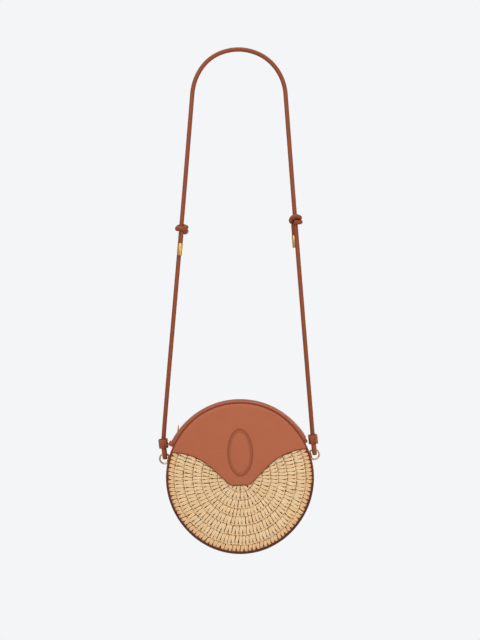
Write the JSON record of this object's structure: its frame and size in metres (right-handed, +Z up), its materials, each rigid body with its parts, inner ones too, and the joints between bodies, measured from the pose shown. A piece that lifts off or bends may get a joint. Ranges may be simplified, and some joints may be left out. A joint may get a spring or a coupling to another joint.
{
  "type": "round crossbody bag",
  "caption": "Round crossbody bag with crocheted raffia panels, a wavy leather yoke, a zipped leather gusset and a thin knotted leather strap on brass rings.",
  "frame": {"origin": "the point that the strap hangs from, under the top of its arch", "axes": "+Z up, front of the bag towards -Y, +X to the viewer's right"},
  "size_m": [0.2006, 0.055, 0.6204],
  "materials": {
    "leather": "smooth matt tan",
    "strap_leather": "rolled tan cord",
    "raffia": "crocheted natural raffia",
    "lining_cloth": "plain cotton",
    "zip_cloth": "woven zip tape",
    "brass": "polished gold tone"
  },
  "bodies": {
    "strap": {"strap_left": "strap_leather", "strap_top": "strap_leather", "strap_right": "strap_leather", "strap_end_left": "strap_leather", "strap_end_right": "strap_leather", "keeper_left": "strap_leather", "keeper_right": "strap_leather", "knot_left": "strap_leather", "knot_right": "strap_leather", "tail_left": "strap_leather", "tail_right": "strap_leather", "ferrule_left": "brass", "ferrule_right": "brass"},
    "bag": {"front_raffia_panel": "raffia", "back_raffia_panel": "raffia", "front_yoke": "leather", "front_lining": "lining_cloth", "back_lining": "lining_cloth", "gusset_band": "leather", "gusset_lining": "lining_cloth", "zip_facing_back": "leather", "front_piping": "leather", "back_piping": "leather", "zip_tape_back": "zip_cloth", "zip_teeth_back": "brass", "zip_end_tab_left": "leather", "zip_end_tab_right": "leather", "ring_tab_left": "leather", "ring_tab_right": "leather"},
    "mouth": {"front_yoke_top": "leather", "front_lining_top": "lining_cloth", "zip_facing_front": "leather", "front_piping_top": "leather", "zip_tape_front": "zip_cloth", "zip_teeth_front": "brass"},
    "slider": {"slider_body": "brass"},
    "pull": {"slider_pull": "brass"},
    "ring_left": {"ring_left": "brass"},
    "ring_right": {"ring_right": "brass"}
  },
  "joints": [
    {"name": "bag_swing", "type": "hinge", "parent": "strap", "child": "bag", "pos_m": [-0.09171, 0, -0.49922], "axis": [0.9996, 0, 0.0288], "range_deg": [-75, 75]},
    {"name": "mouth_open", "type": "hinge", "parent": "bag", "child": "mouth", "pos_m": [0.00085, -0.0275, -0.48469], "axis": [0.9996, 0, 0.0288], "range_deg": [0, 30]},
    {"name": "zip_slide", "type": "hinge", "parent": "bag", "child": "slider", "pos_m": [0.002, 0, -0.5247], "axis": [0, 1, 0], "range_deg": [0, 105]},
    {"name": "pull_flip", "type": "hinge", "parent": "slider", "child": "pull", "pos_m": [-0.07633, 0, -0.47937], "axis": [0, -1, 0], "range_deg": [0, 45]},
    {"name": "ring_left_turn", "type": "hinge", "parent": "bag", "child": "ring_left", "pos_m": [-0.09153, 0, -0.50541], "axis": [0, 1, 0], "continuous": true},
    {"name": "ring_right_turn", "type": "hinge", "parent": "bag", "child": "ring_right", "pos_m": [0.09427, 0, -0.50006], "axis": [0, 1, 0], "continuous": true}
  ]
}
